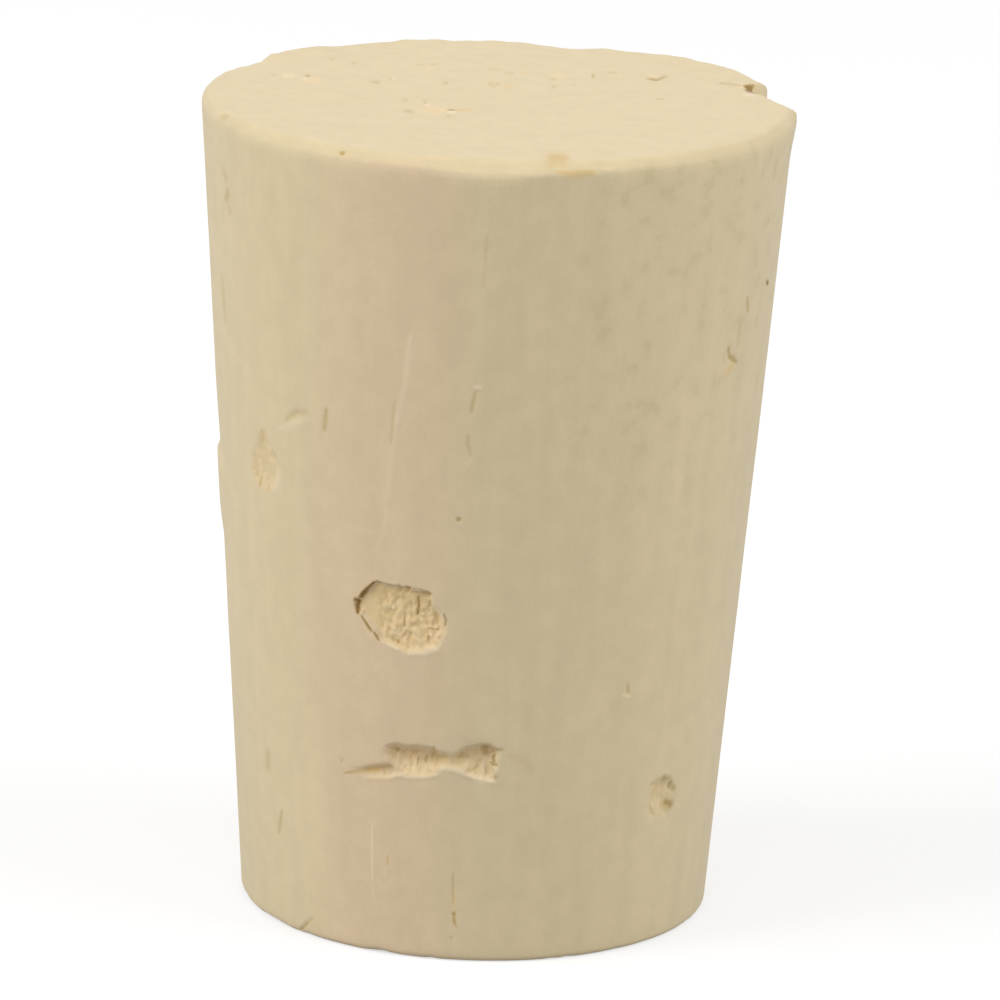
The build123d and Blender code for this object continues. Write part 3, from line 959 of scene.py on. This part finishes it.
# Materials
class Nodes:
    """Short way to add shader nodes and link them."""

    def __init__(self, owner):
        owner.use_nodes = True
        self.tree = owner.node_tree
        self.tree.nodes.clear()

    def add(self, kind, inputs=None, **settings):
        """New node with its settings, its inputs set or linked."""
        node = self.tree.nodes.new(kind)
        for name, value in settings.items():
            setattr(node, name, value)
        for name, value in (inputs or {}).items():
            socket = node.inputs[name]
            if isinstance(value, bpy.types.NodeSocket):
                self.tree.links.new(value, socket)
            elif socket.type == "RGBA":
                socket.default_value = (*value, 1.0)
            else:
                socket.default_value = value
        return node

    def mix(self, factor, first, second, blend="MIX"):
        """Colour between two colours."""
        inputs = {0: factor, 6: first, 7: second}  # numbers of the colour inputs
        return self.add("ShaderNodeMix", inputs, data_type="RGBA", blend_type=blend).outputs[2]

    def multiply(self, first, second):
        """Product of two colours, or of a colour and a number."""
        return self.mix(1.0, first, second, blend="MULTIPLY")

    def math(self, operation, *values):
        """Result of an operation on numbers."""
        return self.add("ShaderNodeMath", dict(enumerate(values)), operation=operation).outputs[0]

    def stretch(self, vector, *scale):
        """Place drawn out by a scale along each axis."""
        return self.add("ShaderNodeMapping", {"Vector": vector, "Scale": scale}).outputs["Vector"]

    def range(self, value, low, high, to_low=0.0, to_high=1.0):
        """Number mapped from one range to another, and held inside it."""
        inputs = {"Value": value, "From Min": low, "From Max": high, "To Min": to_low, "To Max": to_high}
        return self.add("ShaderNodeMapRange", inputs).outputs["Result"]

    def noise(self, vector, scale, detail):
        """Noise value at a place."""
        inputs = {"Vector": vector, "Scale": scale, "Detail": detail}
        return self.add("ShaderNodeTexNoise", inputs).outputs["Fac"]


def cork_material():
    """Pale natural cork with a pinkish band, upright streaks, blots, powdery pits and a dusty sheen."""
    material = bpy.data.materials.new("cork_bark")
    nodes = Nodes(material)
    place = nodes.add("ShaderNodeTexCoord").outputs["Object"]
    even = nodes.stretch(place, 1000.0, 1000.0, 1000.0)  # in millimetres
    upright = nodes.stretch(place, 1000.0, 1000.0, 90.0)
    rings = nodes.stretch(place, 120.0, 1000.0, 120.0)

    normal = nodes.add("ShaderNodeTexCoord").outputs["Normal"]
    facing = nodes.add("ShaderNodeSeparateXYZ", {"Vector": normal}).outputs["Z"]
    flank = nodes.range(facing, 0.3, 0.8, 1.0, 0.0)

    spread = nodes.add("ShaderNodeSeparateXYZ", {"Vector": even}).outputs
    aside = nodes.math("ABSOLUTE", nodes.math("SUBTRACT", spread["X"], PINK_BAND_MIDDLE))
    clouds = nodes.noise(upright, scale=0.35, detail=3.0)
    strayed = nodes.math("MULTIPLY_ADD", clouds, -PINK_BAND_STRAY, aside)
    inside = PINK_BAND_INSIDE - PINK_BAND_STRAY / 2
    outside = PINK_BAND_OUTSIDE - PINK_BAND_STRAY / 2
    pink = nodes.range(strayed, inside, outside, 1.0, 0.0)
    cork = nodes.mix(pink, YELLOWISH_CORK, PINKISH_CORK)
    streaks = nodes.noise(upright, scale=1.1, detail=4.0)
    cork = nodes.multiply(cork, nodes.range(streaks, 0.3, 0.7, 0.97, 1.02))
    to_the_right = nodes.range(spread["X"], *SMUDGES_ACROSS)
    smudged = nodes.range(spread["Z"], *SMUDGES_UP, 0.0, to_the_right)
    smudges = nodes.range(nodes.noise(even, scale=1.1, detail=2.0), 0.58, 0.7, 0.0, smudged)
    cork = nodes.mix(smudges, cork, SMUDGE, blend="MULTIPLY")
    cork = nodes.mix(flank, END_CORK, cork)
    layers = nodes.noise(rings, scale=0.7, detail=3.0)
    cork = nodes.multiply(cork, nodes.range(layers, 0.3, 0.7, 0.99, 1.01))
    blots = nodes.noise(even, scale=1.1, detail=3.0)
    cork = nodes.multiply(cork, nodes.range(blots, 0.35, 0.62, 1.015, 0.975))
    cells = nodes.noise(even, scale=9.0, detail=2.0)
    cork = nodes.multiply(cork, nodes.range(cells, 0.25, 0.75, 0.98, 1.02))

    tint = nodes.add("ShaderNodeAttribute", attribute_name="tint").outputs["Color"]
    channels = nodes.add("ShaderNodeSeparateColor", {"Color": tint}).outputs
    mottle = nodes.range(nodes.noise(even, scale=1.6, detail=3.0), 0.4, 0.6)
    cork = nodes.mix(channels["Red"], cork, nodes.mix(mottle, POWDER, OLIVE_POWDER))
    # The pale and dark tints carry painted highlights and painted shade as well as fibre and crack colours
    cork = nodes.mix(channels["Blue"], cork, PALE_FIBRE_AND_PAINTED_HIGHLIGHT)
    dark_mark = nodes.range(channels["Green"], 0.0, 0.5)
    cork = nodes.mix(dark_mark, cork, CRACK_AND_PAINTED_SHADE_TINGE, blend="MULTIPLY")
    cork = nodes.mix(channels["Green"], cork, DARK_OF_CRACKS_AND_PAINTED_SHADE)

    bump = nodes.add("ShaderNodeBump", {"Height": cells, "Strength": 0.25, "Distance": 0.00003})
    surface = nodes.add(
        "ShaderNodeBsdfPrincipled",
        {
            "Base Color": cork, "Roughness": 0.85, "Specular IOR Level": 0.2, "Sheen Weight": 0.2,
            "Sheen Roughness": 0.5, "Normal": bump.outputs["Normal"],
        },
    )
    nodes.add("ShaderNodeOutputMaterial", {"Surface": surface.outputs["BSDF"]})
    return material


def floor_material():
    """Floor that reads as white and keeps the stopper's shadow."""
    material = bpy.data.materials.new("white_floor")
    nodes = Nodes(material)
    paper = nodes.add("ShaderNodeBsdfDiffuse", {"Color": FLOOR_GREY}).outputs["BSDF"]
    lift = nodes.add("ShaderNodeEmission", {"Color": FLOOR_LIFT, "Strength": background_share(nodes)})
    both = nodes.add("ShaderNodeAddShader", {0: paper, 1: lift.outputs["Emission"]})
    nodes.add("ShaderNodeOutputMaterial", {"Surface": both.outputs["Shader"]})
    return material


def background_share(nodes):
    """1 for rays that show the background, straight or mirrored, and 0 for the rest."""
    ray = nodes.add("ShaderNodeLightPath").outputs
    mirrored = nodes.math("MAXIMUM", ray["Is Glossy Ray"], ray["Is Transmission Ray"])
    return nodes.math("MAXIMUM", ray["Is Camera Ray"], mirrored)


# Stage
def add_floor():
    """Plain white floor under the stopper."""
    half = FLOOR_HALF_WIDTH
    corners = [(-half, -half, 0), (half, -half, 0), (half, half, 0), (-half, half, 0)]
    mesh = bpy.data.meshes.new("floor")
    mesh.from_pydata(corners, [], [(0, 1, 2, 3)])
    mesh.materials.append(floor_material())
    floor = add_object("floor", mesh)


def light_world():
    """White surroundings, and an even soft light from them."""
    world = bpy.data.worlds.new("studio")
    bpy.context.scene.world = world
    nodes = Nodes(world)
    level = nodes.range(background_share(nodes), 0.0, 1.0, WORLD_STRENGTH)
    background = nodes.add("ShaderNodeBackground", {"Color": (1.0, 1.0, 1.0), "Strength": level})
    nodes.add("ShaderNodeOutputWorld", {"Surface": background.outputs["Background"]})


def add_softbox(name, place, size, power):
    """Square area lamp that faces the stopper."""
    lamp = bpy.data.lights.new(name, "AREA")
    lamp.size = size
    lamp.energy = power
    box = add_object(name, lamp)
    middle = (stopper_low + stopper_high) / 2
    box.location = place
    box.rotation_euler = (middle - Vector(place)).to_track_quat("-Z", "Y").to_euler()


def add_camera():
    """Camera at the photograph's angle, with the stopper at the same place."""
    middle = Vector((0.0, 0.0, LENGTH / 2)) * MILLIMETRE
    tilt = radians(CAMERA_ELEVATION)
    turn = Matrix.Rotation(pi / 2 - tilt, 3, "X") @ Matrix.Rotation(radians(CAMERA_ROLL), 3, "Z")
    metres_per_pixel = CAMERA_DISTANCE * SENSOR / (LENS * IMAGE_SIZE)
    across = (IMAGE_SIZE / 2 - STOPPER_MIDDLE_PIXEL[0]) * metres_per_pixel
    rise = (STOPPER_MIDDLE_PIXEL[1] - IMAGE_SIZE / 2) * metres_per_pixel
    camera = add_object("camera", bpy.data.cameras.new("camera"))
    camera.data.lens = LENS
    camera.data.sensor_width = SENSOR
    camera.data.clip_start = 0.01
    camera.location = middle + turn @ Vector((across, rise, CAMERA_DISTANCE))
    camera.rotation_euler = turn.to_euler()
    bpy.context.scene.camera = camera


cork = make_cork()
cork.data.materials.append(cork_material())
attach(cork, "root")
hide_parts("cork_stopper")

add_floor()
light_world()
for softbox in SOFTBOXES:
    add_softbox(*softbox)
add_camera()
bpy.context.scene.view_settings.view_transform = "Standard"
